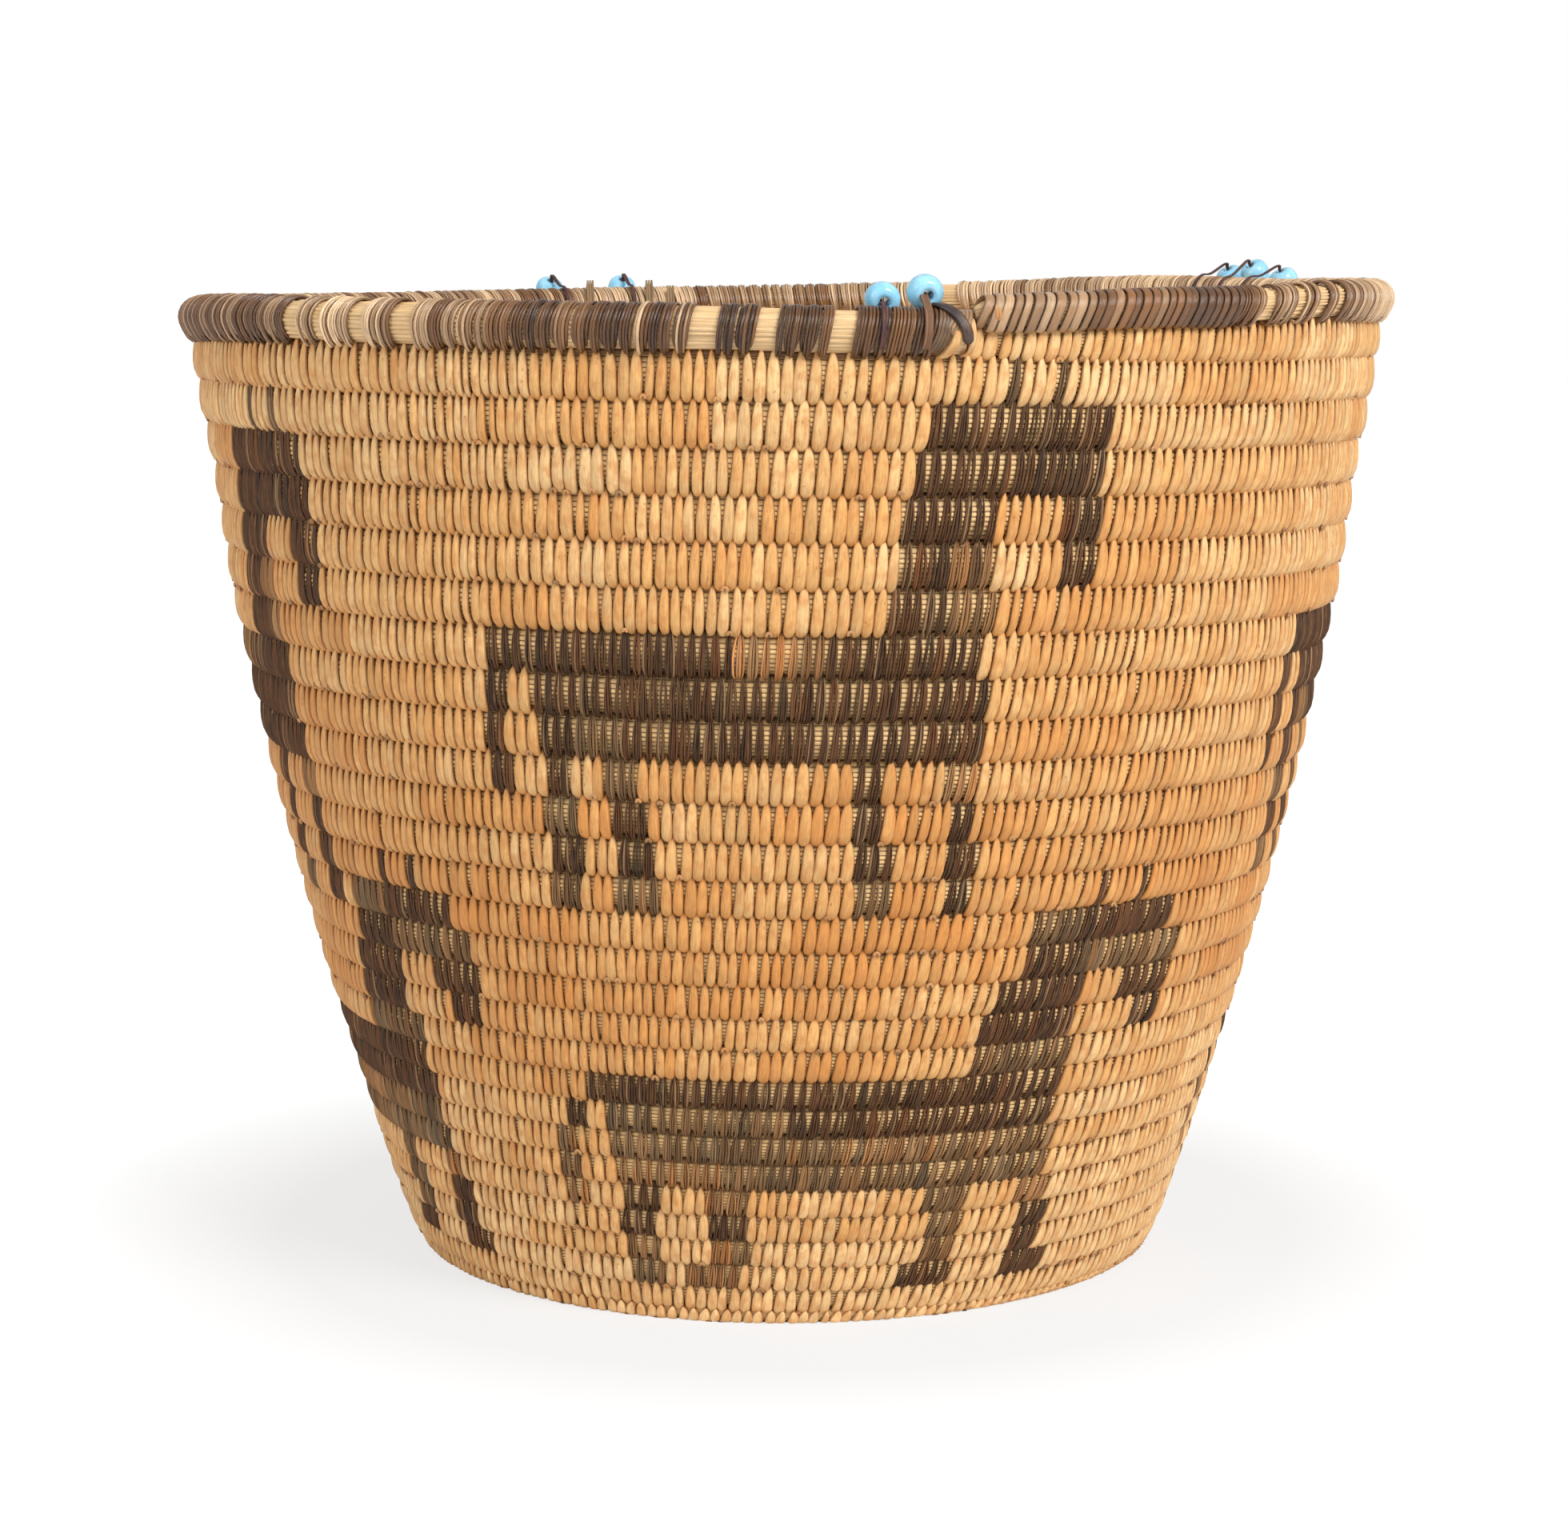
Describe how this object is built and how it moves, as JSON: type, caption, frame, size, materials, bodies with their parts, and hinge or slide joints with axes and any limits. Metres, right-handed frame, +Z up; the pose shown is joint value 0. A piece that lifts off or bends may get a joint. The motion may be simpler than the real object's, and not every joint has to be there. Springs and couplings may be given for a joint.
{
  "type": "coiled basket",
  "caption": "Tapering round basket of coiled grass with a flat base, a splint-wrapped rim and loose-turning glass beads tied on",
  "frame": {"origin": "middle of the basket's base, on the surface it stands on", "axes": "+Z up out of the mouth; -Y towards the front, where the coil ends just right of the middle"},
  "size_m": [0.3005, 0.3001, 0.2479],
  "materials": {
    "straw": "dry stitched palm splint over a grass bundle",
    "splint": "dark dyed palm splint, waxy sheen",
    "glass": "glossy opaque pressed glass"
  },
  "bodies": {
    "basket": {"base_coil": "straw", "bead_thong_1": "splint", "bead_thong_2": "splint", "bead_thong_3": "splint", "bead_thong_4": "splint", "bead_thong_5": "splint", "bead_thong_6": "splint", "bead_thong_7": "splint", "rim_coil": "straw", "rim_wrap_01": "splint", "rim_wrap_02": "splint", "rim_wrap_03": "splint", "rim_wrap_04": "splint", "rim_wrap_05": "splint", "rim_wrap_06": "splint", "rim_wrap_07": "splint", "rim_wrap_08": "splint", "rim_wrap_09": "splint", "rim_wrap_10": "splint", "rim_wrap_11": "splint", "rim_wrap_12": "splint", "rim_wrap_13": "splint", "splint_end_1": "splint", "splint_end_2": "splint", "splint_end_3": "splint", "wall_coil_lower": "straw", "wall_coil_upper": "straw"},
    "bead_1": {"bead_1": "glass"},
    "bead_2": {"bead_2": "glass"},
    "bead_3": {"bead_3": "glass"},
    "bead_4": {"bead_4": "glass"},
    "bead_5": {"bead_5": "glass"},
    "bead_6": {"bead_6": "glass"},
    "bead_7": {"bead_7": "glass"}
  },
  "joints": [
    {"name": "bead_1_spin", "type": "hinge", "parent": "basket", "child": "bead_1", "pos_m": [0.02077, -0.1365, 0.23748], "axis": [0.1471, -0.967, -0.2079], "continuous": true},
    {"name": "bead_2_spin", "type": "hinge", "parent": "basket", "child": "bead_2", "pos_m": [0.02986, -0.13695, 0.23907], "axis": [0.2067, -0.948, -0.2419], "continuous": true},
    {"name": "bead_3_spin", "type": "hinge", "parent": "basket", "child": "bead_3", "pos_m": [-0.06828, 0.13756, 0.23965], "axis": [-0.2156, 0.4342, -0.8746], "continuous": true},
    {"name": "bead_4_spin", "type": "hinge", "parent": "basket", "child": "bead_4", "pos_m": [-0.04772, 0.14602, 0.24], "axis": [-0.1506, 0.4608, -0.8746], "continuous": true},
    {"name": "bead_5_spin", "type": "hinge", "parent": "basket", "child": "bead_5", "pos_m": [0.1235, 0.09206, 0.24271], "axis": [0.3764, 0.2806, -0.8829], "continuous": true},
    {"name": "bead_6_spin", "type": "hinge", "parent": "basket", "child": "bead_6", "pos_m": [0.1289, 0.08212, 0.24399], "axis": [0.5421, 0.3454, -0.766], "continuous": true},
    {"name": "bead_7_spin", "type": "hinge", "parent": "basket", "child": "bead_7", "pos_m": [0.13551, 0.07327, 0.24198], "axis": [0.3994, 0.2159, -0.891], "continuous": true}
  ]
}
